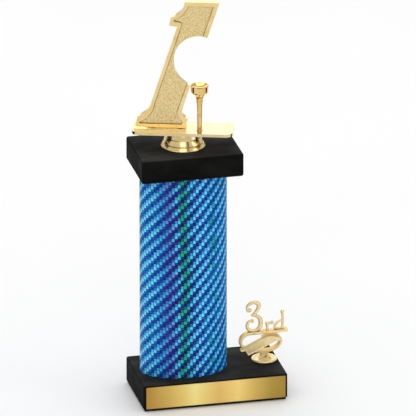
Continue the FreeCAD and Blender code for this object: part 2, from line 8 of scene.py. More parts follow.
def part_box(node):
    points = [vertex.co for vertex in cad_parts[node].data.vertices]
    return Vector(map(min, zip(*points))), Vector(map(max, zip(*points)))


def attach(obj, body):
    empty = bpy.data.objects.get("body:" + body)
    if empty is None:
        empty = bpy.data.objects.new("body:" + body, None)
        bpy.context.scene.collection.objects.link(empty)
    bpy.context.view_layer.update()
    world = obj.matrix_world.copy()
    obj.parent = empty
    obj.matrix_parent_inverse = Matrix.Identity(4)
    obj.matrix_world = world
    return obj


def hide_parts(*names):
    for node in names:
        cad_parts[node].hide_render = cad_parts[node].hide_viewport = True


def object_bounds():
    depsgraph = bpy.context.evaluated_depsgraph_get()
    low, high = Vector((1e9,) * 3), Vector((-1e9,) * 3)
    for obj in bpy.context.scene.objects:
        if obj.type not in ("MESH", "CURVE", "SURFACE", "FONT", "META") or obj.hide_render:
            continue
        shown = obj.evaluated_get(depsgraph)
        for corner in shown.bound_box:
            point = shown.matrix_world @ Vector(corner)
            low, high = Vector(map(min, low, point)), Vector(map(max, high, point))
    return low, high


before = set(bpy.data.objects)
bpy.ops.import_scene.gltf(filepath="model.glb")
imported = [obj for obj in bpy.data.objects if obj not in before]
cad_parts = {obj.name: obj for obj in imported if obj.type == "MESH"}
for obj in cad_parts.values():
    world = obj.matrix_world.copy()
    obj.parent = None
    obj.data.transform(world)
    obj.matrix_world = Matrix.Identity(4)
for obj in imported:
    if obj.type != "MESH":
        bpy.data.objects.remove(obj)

# The looks of the column trophy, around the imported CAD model. Metres, +Z up, +Y to the back.
# Shapes and patterns are written in millimetres and scaled by MM.

MM = 0.001
cad_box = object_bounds()


# ---------------------------------------------------------------- places taken from the frame

def middle_of(node):
    low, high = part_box(node)
    return (low + high) / 2


def half_of(node):
    low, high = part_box(node)
    return (high - low) / 2


column_middle = middle_of("column_wrap")
column_half = half_of("column_wrap")
plate_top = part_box("figure_numeral")[0].z
base_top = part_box("base_slab")[1].z
trim_middle = middle_of("trim_foot")

# The figure is turned on its rod, clockwise seen from above, and stands a little forward of it.
FIGURE_TURN = math.radians(-17.5)
NUMERAL_FORWARD = 4.5
NUMERAL_HALF_THICK = 3.0
PANEL_SUNK = 1.1


# ---------------------------------------------------------------- node trees

class Paint:
    """A material being made. Each call adds one node and returns its output socket."""

    def __init__(self, name, **settings):
        self.material = bpy.data.materials.new(name)
        self.material.use_nodes = True
        self.tree = self.material.node_tree
        self.tree.nodes.clear()
        self.shader = self.tree.nodes.new("ShaderNodeBsdfPrincipled")
        output = self.tree.nodes.new("ShaderNodeOutputMaterial")
        self.join(self.shader.outputs["BSDF"], output.inputs["Surface"])
        for key, value in settings.items():
            self.shader.inputs[key.replace("_", " ")].default_value = value

    def join(self, source, target):
        self.tree.links.new(source, target)

    def feed(self, socket, value):
        """Link an output to a socket, or set the socket to a plain value."""
        if isinstance(value, bpy.types.NodeSocket):
            self.join(value, socket)
        else:
            socket.default_value = value

    def surface(self, name, value):
        self.feed(self.shader.inputs[name], value)

    def millimetres(self):
        """The point's place in the row frame, in millimetres."""
        place = self.tree.nodes.new("ShaderNodeTexCoord")
        scale = self.tree.nodes.new("ShaderNodeVectorMath")
        scale.operation = "SCALE"
        scale.inputs["Scale"].default_value = 1 / MM
        self.join(place.outputs["Object"], scale.inputs[0])
        return scale.outputs[0]

    def normal(self):
        return self.tree.nodes.new("ShaderNodeNewGeometry").outputs["Normal"]

    def split(self, vector):
        node = self.tree.nodes.new("ShaderNodeSeparateXYZ")
        self.join(vector, node.inputs[0])
        return node.outputs

    def combine(self, x, y, z):
        node = self.tree.nodes.new("ShaderNodeCombineXYZ")
        for socket, value in zip(node.inputs, (x, y, z)):
            self.feed(socket, value)
        return node.outputs[0]

    def stretch(self, vector, scale):
        node = self.tree.nodes.new("ShaderNodeVectorMath")
        node.operation = "MULTIPLY"
        self.join(vector, node.inputs[0])
        node.inputs[1].default_value = scale
        return node.outputs[0]

    def along(self, vector, direction):
        """How far a vector reaches along a fixed direction."""
        node = self.tree.nodes.new("ShaderNodeVectorMath")
        node.operation = "DOT_PRODUCT"
        self.join(vector, node.inputs[0])
        node.inputs[1].default_value = direction
        return node.outputs["Value"]

    def sum(self, operation, first, second=0.0, third=0.0):
        node = self.tree.nodes.new("ShaderNodeMath")
        node.operation = operation
        for socket, value in zip(node.inputs, (first, second, third)):
            self.feed(socket, value)
        return node.outputs[0]

    def spread(self, value, low, high, to_low=0.0, to_high=1.0):
        """Stretch a range of values onto another one, without going past its ends."""
        node = self.tree.nodes.new("ShaderNodeMapRange")
        for socket, number in zip(node.inputs, (value, low, high, to_low, to_high)):
            self.feed(socket, number)
        return node.outputs[0]

    def mix(self, share, first, second):
        node = self.tree.nodes.new("ShaderNodeMix")
        node.data_type = "RGBA"
        self.feed(node.inputs["Factor"], share)
        self.feed(node.inputs[6], first)
        self.feed(node.inputs[7], second)
        return node.outputs[2]

    def shade(self, colour, amount):
        """Multiply a colour by a grey amount."""
        node = self.tree.nodes.new("ShaderNodeVectorMath")
        node.operation = "SCALE"
        self.feed(node.inputs[0], colour)
        self.feed(node.inputs["Scale"], amount)
        return node.outputs[0]

    def ramp(self, value, stops):
        node = self.tree.nodes.new("ShaderNodeValToRGB")
        elements = node.color_ramp.elements
        while len(elements) < len(stops):
            elements.new(0.5)
        for element, (position, colour) in zip(elements, stops):
            element.position = position
            element.color = (*colour, 1)
        self.feed(node.inputs["Fac"], value)
        return node.outputs["Color"]

    def cloud(self, vector, scale, detail=3.0, roughness=0.55):
        """Smooth noise between 0 and 1. The scale is in waves per millimetre."""
        node = self.tree.nodes.new("ShaderNodeTexNoise")
        node.inputs["Scale"].default_value = scale
        node.inputs["Detail"].default_value = detail
        node.inputs["Roughness"].default_value = roughness
        self.join(vector, node.inputs["Vector"])
        return node.outputs["Fac"]

    def cells(self, vector, scale):
        """Distance to the nearest of many scattered points."""
        node = self.tree.nodes.new("ShaderNodeTexVoronoi")
        node.inputs["Scale"].default_value = scale
        self.join(vector, node.inputs["Vector"])
        return node.outputs["Distance"]

    def chance(self, x, y, z=0.0):
        """One random number for each whole-numbered cell."""
        node = self.tree.nodes.new("ShaderNodeTexWhiteNoise")
        node.noise_dimensions = "3D"
        self.join(self.combine(x, y, z), node.inputs["Vector"])
        return node.outputs["Value"]

    def shelter(self, reach, closed, open_air):
        """1 in corners and hollows, 0 in the open. The reach is in millimetres."""
        node = self.tree.nodes.new("ShaderNodeAmbientOcclusion")
        node.samples = 8
        node.inputs["Distance"].default_value = reach * MM
        return self.spread(node.outputs["AO"], closed, open_air, 1.0, 0.0)

    def bump(self, height, depth, under=None):
        """Relief from a height between 0 and 1. The depth is in millimetres."""
        node = self.tree.nodes.new("ShaderNodeBump")
        node.inputs["Distance"].default_value = depth * MM
        self.join(height, node.inputs["Height"])
        if under is not None:
            self.join(under, node.inputs["Normal"])
        return node.outputs["Normal"]


def colour(red, green, blue):
    return (red, green, blue, 1)


# ---------------------------------------------------------------- materials

def black_stone():
    """Honed black stone: smoky clouds, a fine grain, a few paler flecks, painted shade on the sides and a painted
    lighter top.
    """
    paint = Paint("black_stone_honed", Specular_IOR_Level=0.03)
    place = paint.millimetres()
    smoke = paint.cloud(paint.stretch(place, (0.6, 1.0, 1.3)), 0.045, 5.0, 0.6)
    grain = paint.cloud(place, 2.2, 2.0)
    flecks = paint.spread(paint.cells(place, 0.55), 0.0, 0.12, 1.0, 0.0)
    tone = paint.ramp(smoke, [
        (0.30, (0.0075, 0.0075, 0.0071)),
        (0.50, (0.0125, 0.0125, 0.0116)),
        (0.70, (0.0210, 0.0210, 0.0194)),
    ])
    tone = paint.shade(tone, paint.spread(grain, 0.3, 0.7, 0.8, 1.2))
    painted_shade_facing_up = paint.sum("ABSOLUTE", paint.split(paint.normal())[2])
    # Painted shade: the sides are darkened and the top lightened by which way the face points.
    tone = paint.shade(tone, paint.spread(painted_shade_facing_up, 0.5, 0.9, 0.48, 1.85))
    paint.surface("Base Color", paint.mix(paint.sum("MULTIPLY", flecks, 0.15), tone, colour(0.05, 0.05, 0.048)))
    paint.surface("Roughness", paint.spread(smoke, 0.3, 0.7, 0.75, 0.6))
    fine = paint.bump(grain, 0.05)
    paint.surface("Normal", paint.bump(paint.cloud(place, 0.12, 2.0), 0.12, fine))
    return paint.material


# Painted reflection colours of the hologram across the column, from its left edge to its right edge as the front shows
# it:
# (share of the width, lit thread, middle thread, shaded thread).
FILM_REFLECTION_BANDS = [
    (0.04, (0.18, 0.82, 0.98), (0.018, 0.24, 0.64), (0.003, 0.06, 0.37)),
    (0.15, (0.17, 0.80, 0.98), (0.010, 0.20, 0.60), (0.003, 0.04, 0.32)),
    (0.25, (0.06, 0.46, 0.86), (0.010, 0.13, 0.47), (0.003, 0.025, 0.24)),
    (0.35, (0.09, 0.26, 0.74), (0.026, 0.05, 0.34), (0.010, 0.010, 0.15)),
    (0.44, (0.07, 0.74, 1.00), (0.026, 0.09, 0.43), (0.010, 0.009, 0.11)),
    (0.52, (0.01, 0.58, 0.36), (0.008, 0.09, 0.25), (0.006, 0.007, 0.08)),
    (0.58, (0.07, 0.68, 0.92), (0.014, 0.11, 0.38), (0.005, 0.010, 0.12)),
    (0.69, (0.17, 0.80, 1.00), (0.016, 0.15, 0.56), (0.003, 0.018, 0.25)),
    (0.80, (0.12, 0.74, 0.96), (0.010, 0.17, 0.58), (0.001, 0.03, 0.27)),
    (0.96, (0.08, 0.66, 0.92), (0.010, 0.15, 0.52), (0.001, 0.03, 0.27)),
]
FILM_COLUMNS = 76
FILM_ROW_TALL = 2.77
CAMERA_TURN = math.radians(-13.05)


def column_film():
    """Blue film printed as a woven twill, with painted reflection bands of colour like a hologram's and painted green
    glints.
    """
    paint = Paint("column_film_print", Specular_IOR_Level=0.08, Coat_Weight=0.03, Coat_Roughness=0.3)
    place = paint.millimetres()
    x, y, z = paint.split(place)
    left = paint.sum("SUBTRACT", x, column_middle.x / MM)

    # Distance round the oval: its width and depth set how fast the edge runs with the angle.
    wide = column_half.x / MM
    deep = column_half.y / MM
    even = (wide + deep) / 2
    uneven = (wide - deep) / 2
    angle = paint.sum("ARCTAN2", paint.sum("DIVIDE", y, deep), paint.sum("DIVIDE", left, wide))
    swing = paint.sum("SINE", paint.sum("MULTIPLY", angle, 2.0))
    round_way = paint.sum("SUBTRACT", paint.sum("MULTIPLY", angle, even), paint.sum("MULTIPLY", swing, uneven / 2))
    thread_wide = 2 * math.pi * even / FILM_COLUMNS
    across = paint.sum("DIVIDE", round_way, thread_wide)
    up = paint.sum("DIVIDE", z, FILM_ROW_TALL)
    column = paint.sum("FLOOR", across)
    row = paint.sum("FLOOR", up)
    in_column = paint.sum("FRACT", across)
    in_row = paint.sum("FRACT", up)

    # Twill: each thread is over for two rows and under for two, one row higher each column.
    step = paint.sum("FLOORED_MODULO", paint.sum("SUBTRACT", row, column), 4.0)
    lift = paint.ramp(paint.sum("DIVIDE", paint.sum("ADD", step, 0.5), 4.0), [
        (0.0, (1.05, 1.05, 1.05)),
        (0.25, (0.58, 0.58, 0.58)),
        (0.5, (0.08, 0.08, 0.08)),
        (0.75, (0.26, 0.26, 0.26)),
    ])
    paint.tree.nodes[-1].color_ramp.interpolation = "CONSTANT"
    over = paint.sum("LESS_THAN", step, 2.0)

    # Each thread is round: dark along its two edges, upright on top and level below.
    from_middle = paint.sum("ABSOLUTE", paint.sum("SUBTRACT", paint.sum("MULTIPLY", in_column, 2.0), 1.0))
    from_centre = paint.sum("ABSOLUTE", paint.sum("SUBTRACT", paint.sum("MULTIPLY", in_row, 2.0), 1.0))
    under = paint.sum("SUBTRACT", 1.0, over)
    edge = paint.sum("ADD", paint.sum("MULTIPLY", from_middle, over), paint.sum("MULTIPLY", from_centre, under))
    edge = paint.sum("POWER", edge, 3.0)
    sparkle = paint.sum("SUBTRACT", paint.chance(column, row), 0.5)
    light = paint.sum("SUBTRACT", lift, paint.sum("MULTIPLY", edge, 0.55))
    light = paint.sum("ADD", light, paint.sum("MULTIPLY", sparkle, 0.30))
    light = paint.spread(light, 0.0, 0.95)

    # The painted reflection bands lie upright, laid out across the width as the camera's turn shows it, and waver a
    # little with height.
    sideways = paint.along(paint.combine(left, y, 0.0), (math.cos(CAMERA_TURN), math.sin(CAMERA_TURN), 0))
    reach = math.hypot(wide * math.cos(CAMERA_TURN), deep * math.sin(CAMERA_TURN))
    waver = paint.sum("SUBTRACT", paint.cloud(paint.stretch(place, (0.3, 0.3, 1.0)), 0.012, 1.0), 0.5)
    share = paint.sum("ADD", paint.sum("DIVIDE", sideways, 2 * reach), 0.5)
    share = paint.sum("ADD", share, paint.sum("MULTIPLY", waver, 0.10))
    lit, middle, shaded = (paint.ramp(share, [(band[0], band[tone]) for band in FILM_REFLECTION_BANDS]) for tone in (1, 2, 3))

    # Painted glints: scattered threads turn bright green, most of them near the middle band.
    near_middle = paint.spread(paint.sum("ABSOLUTE", paint.sum("SUBTRACT", share, 0.51)), 0.015, 0.055, 1.0, 0.0)
    near_right = paint.spread(paint.sum("ABSOLUTE", paint.sum("SUBTRACT", share, 0.83)), 0.01, 0.06, 0.35, 0.0)
    painted_glint = paint.sum("LESS_THAN", paint.chance(column, row, 7.0), paint.sum("ADD", near_middle, near_right))
    lit = paint.mix(painted_glint, lit, colour(0.005, 0.50, 0.17))

    lower_half = paint.mix(paint.spread(light, 0.0, 0.4), shaded, middle)
    paint.surface("Base Color", paint.mix(paint.spread(light, 0.4, 0.95), lower_half, lit))
    paint.surface("Roughness", paint.spread(light, 0.0, 1.0, 0.42, 0.3))
    paint.surface("Normal", paint.bump(edge, 0.02))
    return paint.material


PALE_GOLD = colour(0.90, 0.71, 0.36)
DEEP_GOLD = colour(0.82, 0.58, 0.22)


def gold(name, roughness=0.14, deep=DEEP_GOLD, pale=PALE_GOLD, coat=0.25):
    """Bright gold plating over a moulding, slightly wavy and unevenly rubbed."""
    paint = Paint(name, Metallic=1.0, Coat_Weight=coat, Coat_Roughness=0.08)
    place = paint.millimetres()
    patches = paint.cloud(place, 0.09, 3.0)
    smears = paint.cloud(paint.stretch(place, (1.0, 1.0, 0.25)), 0.5, 4.0, 0.65)
    paint.surface("Base Color", paint.mix(paint.spread(patches, 0.35, 0.65), deep, pale))
    paint.surface("Roughness", paint.spread(smears, 0.3, 0.7, roughness * 0.75, roughness * 1.3))
    paint.surface("Normal", paint.bump(paint.cloud(place, 0.16, 1.0), 0.10))
    return paint.material


def cast_gold(name, flank):
    """Satin gold plating over a sandy casting. The flank share sets the painted shade that deepens what doesn't face
    front or back; hollows get painted shade too, near black in tight crevices.
    """
    paint = Paint(name, Metallic=0.7, Specular_IOR_Level=0.3, Coat_Weight=0.35, Coat_Roughness=0.3)
    place = paint.millimetres()
    sand = paint.cloud(place, 1.3, 3.0, 0.7)
    patches = paint.cloud(place, 0.25, 2.0)
    tone = paint.mix(paint.spread(patches, 0.35, 0.65), colour(0.98, 0.73, 0.33), colour(1.0, 0.86, 0.50))
    tone = paint.shade(tone, paint.spread(sand, 0.35, 0.65, 0.88, 1.12))
    # Painted shade: faces turned away from front and back, and hollows within 3.5 mm, go deep gold.
    turned = paint.spread(paint.sum("ABSOLUTE", paint.split(paint.normal())[1]), 0.35, 0.85, flank, 0.0)
    hollow = paint.sum("MAXIMUM", turned, paint.shelter(3.5, 0.3, 0.75))
    tone = paint.mix(hollow, tone, colour(0.74, 0.43, 0.06))
    # Painted shade: tight crevices go near black.
    paint.surface("Base Color", paint.mix(paint.shelter(0.9, 0.45, 0.7), tone, colour(0.12, 0.07, 0.02)))
    paint.surface("Roughness", paint.spread(sand, 0.3, 0.7, 0.30, 0.48))
    paint.surface("Normal", paint.bump(sand, 0.12))
    return paint.material


def numeral_gold():
    """Bright gold on the border and the edges, sparkling stipple on the sunk panels, and painted shade as dark lines
    along the foot of the recesses.
    """
    paint = Paint("gold_numeral", Metallic=1.0, Coat_Weight=0.25, Coat_Roughness=0.08)
    place = paint.millimetres()
    facing = (-math.sin(FIGURE_TURN), math.cos(FIGURE_TURN), 0)
    from_axis = paint.tree.nodes.new("ShaderNodeVectorMath")
    from_axis.operation = "SUBTRACT"
    paint.join(place, from_axis.inputs[0])
    from_axis.inputs[1].default_value = (column_middle.x / MM, 0, 0)
    depth = paint.sum("ABSOLUTE", paint.sum("ADD", paint.along(from_axis.outputs[0], facing), NUMERAL_FORWARD))
    flat = paint.sum("GREATER_THAN", paint.sum("ABSOLUTE", paint.along(paint.normal(), facing)), 0.93)
    sunk = paint.sum("LESS_THAN", depth, NUMERAL_HALF_THICK - PANEL_SUNK / 2)
    above = paint.sum("GREATER_THAN", paint.split(place)[2], plate_top / MM + 5)
    panel = paint.sum("MULTIPLY", paint.sum("MULTIPLY", flat, sunk), above)
    below_border = paint.sum("LESS_THAN", depth, NUMERAL_HALF_THICK - 0.2)
    # Painted shade: dark lines in the recess corners, stronger in some patches.
    painted_recess_shade = paint.sum("MULTIPLY", paint.shelter(1.3, 0.72, 0.93), paint.sum("MULTIPLY", below_border, above))

    specks = paint.cloud(place, 0.85, 3.0, 0.75)
    patches = paint.cloud(place, 0.07, 3.0)
    painted_recess_shade = paint.sum("MULTIPLY", painted_recess_shade, paint.spread(patches, 0.35, 0.65, 0.85, 0.5))
    border = paint.mix(paint.spread(patches, 0.35, 0.65), DEEP_GOLD, PALE_GOLD)
    stipple = paint.mix(paint.spread(specks, 0.35, 0.65), colour(0.64, 0.45, 0.155), colour(1.0, 0.85, 0.46))
    plated = paint.mix(panel, border, stipple)
    paint.surface("Base Color", paint.mix(painted_recess_shade, plated, colour(0.15, 0.10, 0.03)))
    smears = paint.cloud(paint.stretch(place, (1.0, 1.0, 0.25)), 0.5, 4.0, 0.65)
    smooth = paint.spread(smears, 0.3, 0.7, 0.11, 0.2)
    paint.surface("Roughness", paint.sum("ADD", smooth, paint.sum("MULTIPLY", panel, 0.26)))
    relief = paint.bump(paint.sum("MULTIPLY", specks, panel), 0.16)
    paint.surface("Normal", paint.bump(paint.cloud(place, 0.12, 1.0), 0.08, relief))
    return paint.material


# Brushed brass across the name plate, from left to right: lighter where the sheet catches light.
BRASS_BANDS = [
    (0.00, (0.43, 0.24, 0.040)),
    (0.16, (0.62, 0.41, 0.105)),
    (0.27, (0.76, 0.57, 0.170)),
    (0.35, (0.86, 0.73, 0.275)),
    (0.43, (0.80, 0.61, 0.200)),
    (0.52, (0.73, 0.48, 0.140)),
    (0.66, (0.85, 0.63, 0.200)),
    (0.78, (0.62, 0.42, 0.105)),
    (0.90, (0.40, 0.27, 0.050)),
    (1.00, (0.36, 0.22, 0.035)),
]


def plate_brass():
    """Brushed brass sheet with fine level brush lines and soft bands of light and shade."""
    paint = Paint("plate_brass_brushed", Metallic=0.55, Specular_IOR_Level=0.3)
    low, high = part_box("name_plate")
    place = paint.millimetres()
    share = paint.spread(paint.split(place)[0], low.x / MM, high.x / MM)
    brushing = paint.cloud(paint.stretch(place, (0.03, 1.0, 6.0)), 1.0, 4.0, 0.7)
    tone = paint.shade(paint.ramp(share, BRASS_BANDS), paint.spread(brushing, 0.3, 0.7, 1.12, 1.26))
    paint.surface("Base Color", tone)
    paint.surface("Roughness", paint.spread(brushing, 0.3, 0.7, 0.38, 0.5))
    paint.surface("Normal", paint.bump(brushing, 0.01))
    return paint.material


def column_board():
    """Grey-brown paper board with a pressed fibre surface."""
    paint = Paint("column_board_paper", Specular_IOR_Level=0.2)
    place = paint.millimetres()
    fibre = paint.cloud(paint.stretch(place, (1.0, 1.0, 0.2)), 1.4, 4.0, 0.7)
    paint.surface("Base Color", paint.mix(fibre, colour(0.26, 0.19, 0.12), colour(0.47, 0.37, 0.25)))
    paint.surface("Roughness", paint.spread(fibre, 0.3, 0.7, 0.8, 0.95))
    paint.surface("Normal", paint.bump(fibre, 0.08))
    return paint.material


def black_felt():
    """Short dense pile with a soft sheen."""
    paint = Paint("base_felt_pile", Specular_IOR_Level=0.1, Sheen_Weight=0.3)
    place = paint.millimetres()
    pile = paint.cloud(place, 2.8, 4.0, 0.8)
    paint.surface("Base Color", paint.mix(pile, colour(0.006, 0.006, 0.006), colour(0.022, 0.022, 0.021)))
    paint.surface("Roughness", paint.spread(pile, 0.3, 0.7, 0.9, 1.0))
    paint.surface("Normal", paint.bump(pile, 0.3))
    return paint.material


def moulded_plastic(name, dark, pale):
    """Plain moulded plastic with a lightly textured skin."""
    paint = Paint(name, Specular_IOR_Level=0.35)
    place = paint.millimetres()
    skin = paint.cloud(place, 1.8, 3.0)
    paint.surface("Base Color", paint.mix(skin, dark, pale))
    paint.surface("Roughness", paint.spread(skin, 0.3, 0.7, 0.5, 0.65))
    paint.surface("Normal", paint.bump(skin, 0.04))
    return paint.material


def zinc_steel():
    """Bright zinc plating with a faint yellow and blue bloom."""
    paint = Paint("zinc_steel_plated", Metallic=1.0)
    place = paint.millimetres()
    bloom = paint.cloud(place, 0.22, 3.0)
    turning = paint.cloud(paint.stretch(place, (0.4, 0.4, 3.0)), 1.2, 3.0)
    paint.surface("Base Color", paint.mix(bloom, colour(0.50, 0.53, 0.58), colour(0.66, 0.62, 0.52)))
    paint.surface("Roughness", paint.spread(turning, 0.3, 0.7, 0.24, 0.42))
    paint.surface("Normal", paint.bump(turning, 0.03))
    return paint.material


def floor_paper():
    """Pale seamless paper under the trophy."""
    paint = Paint("floor_paper", Specular_IOR_Level=0.1, Roughness=0.9)
    place = paint.millimetres()
    mottle = paint.cloud(place, 0.004, 3.0)
    paint.surface("Base Color", paint.mix(mottle, colour(0.92, 0.92, 0.92), colour(0.95, 0.95, 0.95)))
    return paint.material


# ---------------------------------------------------------------- the trim's cast pieces

# Centre lines of the trim's strokes, as (x, z, half width) from the foot of the trim.
UPPER_BOW = [
    (-12.9, 47.6, 1.65), (-14.2, 46.8, 1.25), (-15.3, 48.5, 1.15), (-15.0, 51.2, 1.25), (-12.3, 53.9, 1.45),
    (-8.6, 54.6, 1.65), (-5.5, 53.0, 1.90), (-4.9, 50.2, 1.95), (-6.5, 46.8, 1.70), (-8.8, 44.0, 1.45), (-10.4, 42.7, 1.25),
]
LOWER_BOW = [
    (-10.4, 42.6, 1.25), (-6.4, 41.6, 1.50), (-3.7, 38.4, 2.00), (-3.1, 34.2, 2.10), (-4.2, 30.6, 1.95), (-6.9, 28.5, 1.65),
    (-10.4, 28.0, 1.50), (-13.7, 29.4, 1.50), (-15.3, 32.6, 1.50), (-14.5, 35.8, 1.40), (-12.4, 37.6, 1.20), (-10.4, 37.2, 1.45),
]
LETTER_R = [
    [(2.4, 34.0, 1.45), (2.6, 31.4, 1.15), (2.8, 27.4, 1.35)],
    [(2.6, 31.6, 0.95), (4.6, 33.8, 0.95), (7.2, 34.4, 1.45)],
]
LETTER_D = [
    [(16.2, 43.6, 1.60), (16.6, 40.6, 1.20), (16.7, 35.0, 1.30), (16.5, 28.2, 1.40)],
    [(16.4, 36.0, 0.90), (12.8, 34.7, 0.95), (10.0, 31.9, 1.15), (9.4, 29.4, 1.15), (12.0, 28.4, 1.10), (16.2, 28.4, 1.10)],
]
TRIM_BAR = [(-15.0, 26.2), (-3.0, 26.4), (9.0, 26.5), (20.6, 26.9)]
TRIM_LOOP = [
    (-8.0, 26.3), (-12.6, 26.2), (-17.2, 25.0), (-20.6, 21.6), (-21.0, 16.6), (-17.6, 12.4), (-10.6, 9.9), (-3.0, 8.9),
    (4.6, 9.1), (10.6, 11.2), (14.2, 14.8), (14.2, 18.8), (10.8, 22.0), (4.4, 22.6), (-2.0, 21.0),
]


def smooth_line(points, steps=9):
    """Points along a smooth curve through the given ones. Every column is eased alike."""
    ends = [points[0]] + list(points) + [points[-1]]
    line = []
    for before, start, stop, after in zip(ends, ends[1:], ends[2:], ends[3:]):
        for step in range(steps):
            t = step / steps
            line.append(tuple(
                0.5 * (2 * p1 + (p2 - p0) * t + (2 * p0 - 5 * p1 + 4 * p2 - p3) * t ** 2 + (3 * p1 - p0 - 3 * p2 + p3) * t ** 3)
                for p0, p1, p2, p3 in zip(before, start, stop, after)
            ))
    line.append(tuple(points[-1]))
    return line


def on_trim(x, y, z):
    """A point of the trim, in metres, from millimetres from its foot."""
    return Vector((trim_middle.x + x * MM, trim_middle.y + y * MM, base_top + z * MM))


def sweep(bm, line, section):
    """Carry a section along a line of (x, z, ...) points. section(point) gives (outward, forward) offsets."""
    rings = []
    for index, point in enumerate(line):
        before = line[max(index - 1, 0)]
        after = line[min(index + 1, len(line) - 1)]
        run = Vector((after[0] - before[0], after[1] - before[1])).normalized()
        outward = Vector((-run.y, run.x))
        ring = []
        for out, forward in section(point):
            ring.append(bm.verts.new(on_trim(point[0] + outward.x * out, -forward, point[1] + outward.y * out)))
        rings.append(ring)
    count = len(rings[0])
    for ring, following in zip(rings, rings[1:]):
        for index in range(count):
            beside = (index + 1) % count
            bm.faces.new((ring[index], ring[beside], following[beside], following[index]))
    bm.faces.new(reversed(rings[0]))
    bm.faces.new(rings[-1])


def ball(bm, x, z, radius, deep):
    place = Matrix.Translation(on_trim(x, 0, z)) @ Matrix.Diagonal((1, deep, 1, 1))
    bmesh.ops.create_uvsphere(bm, u_segments=20, v_segments=12, radius=radius * MM, matrix=place)


def stroke(bm, points, deep=0.95):
    """A round-faced stroke that swells and thins, with a ball at each end."""
    def section(point):
        turns = [2 * math.pi * index / 16 for index in range(16)]
        return [(point[2] * math.cos(turn), point[2] * deep * math.sin(turn)) for turn in turns]

    sweep(bm, smooth_line(points), section)
    for x, z, radius in (points[0], points[-1]):
        ball(bm, x, z, radius * 1.08, deep)


def cast_piece(name, bm, material, node, grain=0.22):
    """Melt the parts of a casting into one skin and let it stand for a CAD node."""
    bmesh.ops.recalc_face_normals(bm, faces=bm.faces)
    mesh = bpy.data.meshes.new(name)
    bm.to_mesh(mesh)
    bm.free()
    mesh.materials.append(material)
    piece = bpy.data.objects.new(name, mesh)
    bpy.context.scene.collection.objects.link(piece)
    melt = piece.modifiers.new("melt", "REMESH")
    melt.mode = "VOXEL"
    melt.voxel_size = grain * MM
    melt.use_smooth_shade = True
    ease = piece.modifiers.new("ease", "SMOOTH")
    ease.factor = 0.5
    ease.iterations = 4
    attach(piece, "root")
    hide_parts(node)
    return piece


def trim_figures(material):
    three = bmesh.new()
    stroke(three, UPPER_BOW)
    stroke(three, LOWER_BOW)
    cast_piece("trim_three_cast", three, material, "trim_numeral")
    for name, strokes, node in (("trim_r_cast", LETTER_R, "trim_letter_r"), ("trim_d_cast", LETTER_D, "trim_letter_d")):
        letter = bmesh.new()
        for points in strokes:
            stroke(letter, points)
        cast_piece(name, letter, material, node)


def ribbon_section(thick, deep, hollow):
    """Half-round-edged band with a shallow channel down each broad face."""
    t = thick / 2
    d = deep / 2
    return [
        (t * 0.55, d), (t, d * 0.85), (t, d * 0.66), (t - hollow, d * 0.5), (t - hollow, -d * 0.5), (t, -d * 0.66),
        (t, -d * 0.85), (t * 0.55, -d), (-t * 0.55, -d), (-t, -d * 0.85), (-t, -d * 0.66), (-t + hollow, -d * 0.5),
        (-t + hollow, d * 0.5), (-t, d * 0.66), (-t, d * 0.85), (-t * 0.55, d),
    ]


def trim_ribbon(material):
    """The loop, and the tail that crosses in front of it and ends in a swallowtail."""
    ribbon = bmesh.new()
    sweep(ribbon, smooth_line(TRIM_LOOP), lambda point: ribbon_section(2.3, 6.0, 0.3))
    outline = [
        (-22.4, 13.2), (-22.0, 11.4), (-20.6, 10.9), (-17.6, 11.4), (-15.3, 6.9), (-12.2, 8.0), (-4.8, 11.4), (4.0, 15.8),
        (9.0, 18.0), (13.4, 18.6), (15.2, 19.6), (13.6, 22.0), (6.4, 24.0), (0.4, 23.6), (-9.5, 19.4), (-17.4, 15.6),
    ]
    front = [ribbon.verts.new(on_trim(x, -4.8, z)) for x, z in outline]
    face = ribbon.faces.new(front)
    slab = bmesh.ops.extrude_face_region(ribbon, geom=[face])
    moved = [item for item in slab["geom"] if isinstance(item, bmesh.types.BMVert)]
    bmesh.ops.translate(ribbon, verts=moved, vec=(0, 2.6 * MM, 0))
    bmesh.ops.inset_region(ribbon, faces=[face], thickness=0.8 * MM, depth=0)
    bmesh.ops.translate(ribbon, verts=face.verts, vec=(0, 0.6 * MM, 0))
    cast_piece("trim_ribbon_cast", ribbon, material, "trim_ribbon")

    bar = bmesh.new()
    sweep(bar, smooth_line(TRIM_BAR), lambda point: ribbon_section(2.6, 6.0, 0.0))
    cast_piece("trim_bar_cast", bar, material, "trim_bar")


# ---------------------------------------------------------------- finishing the CAD pieces

def paint_node(node, material):
    """Put one material on every slot of a CAD node."""
    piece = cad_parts[node]
    for slot in piece.material_slots:
        slot.material = material
    if not piece.material_slots:
        piece.data.materials.append(material)


def soften_edges(node, width, segments=2, angle=35):
    """Round a CAD node's sharp edges by a width in millimetres, as a moulding's are."""
    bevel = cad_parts[node].modifiers.new("softened", "BEVEL")
    bevel.width = width * MM
    bevel.segments = segments
    bevel.limit_method = "ANGLE"
    bevel.angle_limit = math.radians(angle)
    bevel.harden_normals = True


